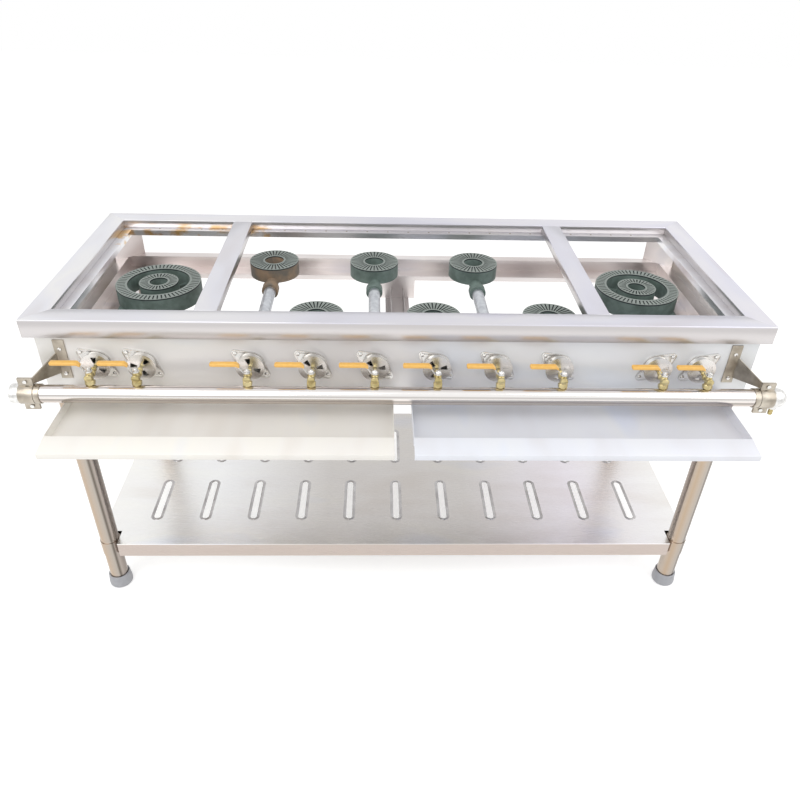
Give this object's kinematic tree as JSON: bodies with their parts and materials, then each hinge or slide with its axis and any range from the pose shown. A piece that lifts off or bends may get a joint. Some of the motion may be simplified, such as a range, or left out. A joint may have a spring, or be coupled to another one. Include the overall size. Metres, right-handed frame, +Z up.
{
  "type": "commercial gas range",
  "caption": "Open-frame stainless gas range with ring burners in a folded rim, front gas manifold with lever valves and air shutters, drip trays and slotted lower shelf.",
  "frame": {"origin": "on the floor, in the middle of the footprint with both drip trays standing out as at rest", "axes": "+X to the user's right along the range, +Y towards the back, +Z up; the front with the valves faces -Y"},
  "size_m": [1.821, 0.91, 0.914],
  "materials": {
    "stainless_sheet": "brushed stainless sheet, satin",
    "stainless_tube": "bright drawn stainless tube",
    "polished_steel": "bright polished steel",
    "galvanised_iron": "galvanised fittings and pipe, light grey",
    "plated_strap": "plated strap steel with an olive tint",
    "cast_iron": "bare cast iron, matt dark grey with a green cast",
    "brass": "machined brass",
    "coated_lever": "steel lever with an orange vinyl grip",
    "grey_plastic": "grey moulded plastic"
  },
  "bodies": {
    "frame": {"bracket_screws": "polished_steel", "burner_pipes": "galvanised_iron", "centre_runner": "stainless_sheet", "centre_support": "stainless_sheet", "control_panel": "stainless_sheet", "corner_gussets": "stainless_sheet", "cross_bars": "stainless_sheet", "double_burner_left": "cast_iron", "double_burner_right": "cast_iron", "flange_screws": "polished_steel", "foot_caps": "grey_plastic", "grate_ledges": "stainless_sheet", "hose_tail": "brass", "injectors": "brass", "inlet_elbow": "galvanised_iron", "legs": "stainless_tube", "lower_rails": "stainless_sheet", "lower_shelf": "stainless_sheet", "manifold_pipe": "polished_steel", "mixer_flanges": "polished_steel", "pipe_brackets": "plated_strap", "pipe_clamps": "plated_strap", "pipe_collars": "polished_steel", "pipe_end_cap": "galvanised_iron", "set_screws": "polished_steel", "shelf_sleeves": "stainless_tube", "side_panel_left": "stainless_sheet", "side_panel_right": "stainless_sheet", "single_burners_back": "cast_iron", "single_burners_front": "cast_iron", "top_rim_back": "stainless_sheet", "top_rim_front": "stainless_sheet", "top_rim_left": "stainless_sheet", "top_rim_right": "stainless_sheet", "tray_runners": "stainless_sheet", "valve_bodies": "brass"},
    "handle_1": {"valve_handle_1": "coated_lever"},
    "handle_2": {"valve_handle_2": "coated_lever"},
    "handle_3": {"valve_handle_3": "coated_lever"},
    "handle_4": {"valve_handle_4": "coated_lever"},
    "handle_5": {"valve_handle_5": "coated_lever"},
    "handle_6": {"valve_handle_6": "coated_lever"},
    "handle_7": {"valve_handle_7": "coated_lever"},
    "handle_8": {"valve_handle_8": "coated_lever"},
    "handle_9": {"valve_handle_9": "coated_lever"},
    "handle_10": {"valve_handle_10": "coated_lever"},
    "shutter_1": {"air_shutter_1": "polished_steel"},
    "shutter_2": {"air_shutter_2": "polished_steel"},
    "shutter_3": {"air_shutter_3": "polished_steel"},
    "shutter_4": {"air_shutter_4": "polished_steel"},
    "shutter_5": {"air_shutter_5": "polished_steel"},
    "shutter_6": {"air_shutter_6": "polished_steel"},
    "shutter_7": {"air_shutter_7": "polished_steel"},
    "shutter_8": {"air_shutter_8": "polished_steel"},
    "shutter_9": {"air_shutter_9": "polished_steel"},
    "shutter_10": {"air_shutter_10": "polished_steel"},
    "tray_left": {"drip_tray_left": "stainless_sheet"},
    "tray_right": {"drip_tray_right": "stainless_sheet"}
  },
  "joints": [
    {"name": "valve_1_turn", "type": "hinge", "parent": "frame", "child": "handle_1", "pos_m": [-0.724, -0.273, 0.793], "axis": [0, 0, 1], "range_deg": [0, 90]},
    {"name": "valve_2_turn", "type": "hinge", "parent": "frame", "child": "handle_2", "pos_m": [-0.617, -0.273, 0.793], "axis": [0, 0, 1], "range_deg": [0, 90]},
    {"name": "valve_3_turn", "type": "hinge", "parent": "frame", "child": "handle_3", "pos_m": [-0.363, -0.273, 0.793], "axis": [0, 0, 1], "range_deg": [0, 90]},
    {"name": "valve_4_turn", "type": "hinge", "parent": "frame", "child": "handle_4", "pos_m": [-0.215, -0.273, 0.793], "axis": [0, 0, 1], "range_deg": [0, 90]},
    {"name": "valve_5_turn", "type": "hinge", "parent": "frame", "child": "handle_5", "pos_m": [-0.067, -0.273, 0.793], "axis": [0, 0, 1], "range_deg": [0, 90]},
    {"name": "valve_6_turn", "type": "hinge", "parent": "frame", "child": "handle_6", "pos_m": [0.081, -0.273, 0.793], "axis": [0, 0, 1], "range_deg": [0, 90]},
    {"name": "valve_7_turn", "type": "hinge", "parent": "frame", "child": "handle_7", "pos_m": [0.229, -0.273, 0.793], "axis": [0, 0, 1], "range_deg": [0, 90]},
    {"name": "valve_8_turn", "type": "hinge", "parent": "frame", "child": "handle_8", "pos_m": [0.377, -0.273, 0.793], "axis": [0, 0, 1], "range_deg": [0, 90]},
    {"name": "valve_9_turn", "type": "hinge", "parent": "frame", "child": "handle_9", "pos_m": [0.617, -0.273, 0.793], "axis": [0, 0, 1], "range_deg": [0, 90]},
    {"name": "valve_10_turn", "type": "hinge", "parent": "frame", "child": "handle_10", "pos_m": [0.724, -0.273, 0.793], "axis": [0, 0, 1], "range_deg": [0, 90]},
    {"name": "shutter_1_turn", "type": "hinge", "parent": "frame", "child": "shutter_1", "pos_m": [-0.724, -0.2329, 0.793], "axis": [0, -1, 0], "range_deg": [0, 60]},
    {"name": "shutter_2_turn", "type": "hinge", "parent": "frame", "child": "shutter_2", "pos_m": [-0.617, -0.2329, 0.793], "axis": [0, -1, 0], "range_deg": [0, 60]},
    {"name": "shutter_3_turn", "type": "hinge", "parent": "frame", "child": "shutter_3", "pos_m": [-0.363, -0.2329, 0.793], "axis": [0, -1, 0], "range_deg": [0, 60]},
    {"name": "shutter_4_turn", "type": "hinge", "parent": "frame", "child": "shutter_4", "pos_m": [-0.215, -0.2329, 0.793], "axis": [0, -1, 0], "range_deg": [0, 60]},
    {"name": "shutter_5_turn", "type": "hinge", "parent": "frame", "child": "shutter_5", "pos_m": [-0.067, -0.2329, 0.793], "axis": [0, -1, 0], "range_deg": [0, 60]},
    {"name": "shutter_6_turn", "type": "hinge", "parent": "frame", "child": "shutter_6", "pos_m": [0.081, -0.2329, 0.793], "axis": [0, -1, 0], "range_deg": [0, 60]},
    {"name": "shutter_7_turn", "type": "hinge", "parent": "frame", "child": "shutter_7", "pos_m": [0.229, -0.2329, 0.793], "axis": [0, -1, 0], "range_deg": [-52, 8]},
    {"name": "shutter_8_turn", "type": "hinge", "parent": "frame", "child": "shutter_8", "pos_m": [0.377, -0.2329, 0.793], "axis": [0, -1, 0], "range_deg": [-50, 10]},
    {"name": "shutter_9_turn", "type": "hinge", "parent": "frame", "child": "shutter_9", "pos_m": [0.617, -0.2329, 0.793], "axis": [0, -1, 0], "range_deg": [-54, 6]},
    {"name": "shutter_10_turn", "type": "hinge", "parent": "frame", "child": "shutter_10", "pos_m": [0.724, -0.2329, 0.793], "axis": [0, -1, 0], "range_deg": [-48, 12]},
    {"name": "tray_left_slide", "type": "slide", "parent": "frame", "child": "tray_left", "axis": [0, -1, 0], "range_m": [-0.18, 0.25]},
    {"name": "tray_right_slide", "type": "slide", "parent": "frame", "child": "tray_right", "axis": [0, -1, 0], "range_m": [-0.18, 0.25]}
  ]
}
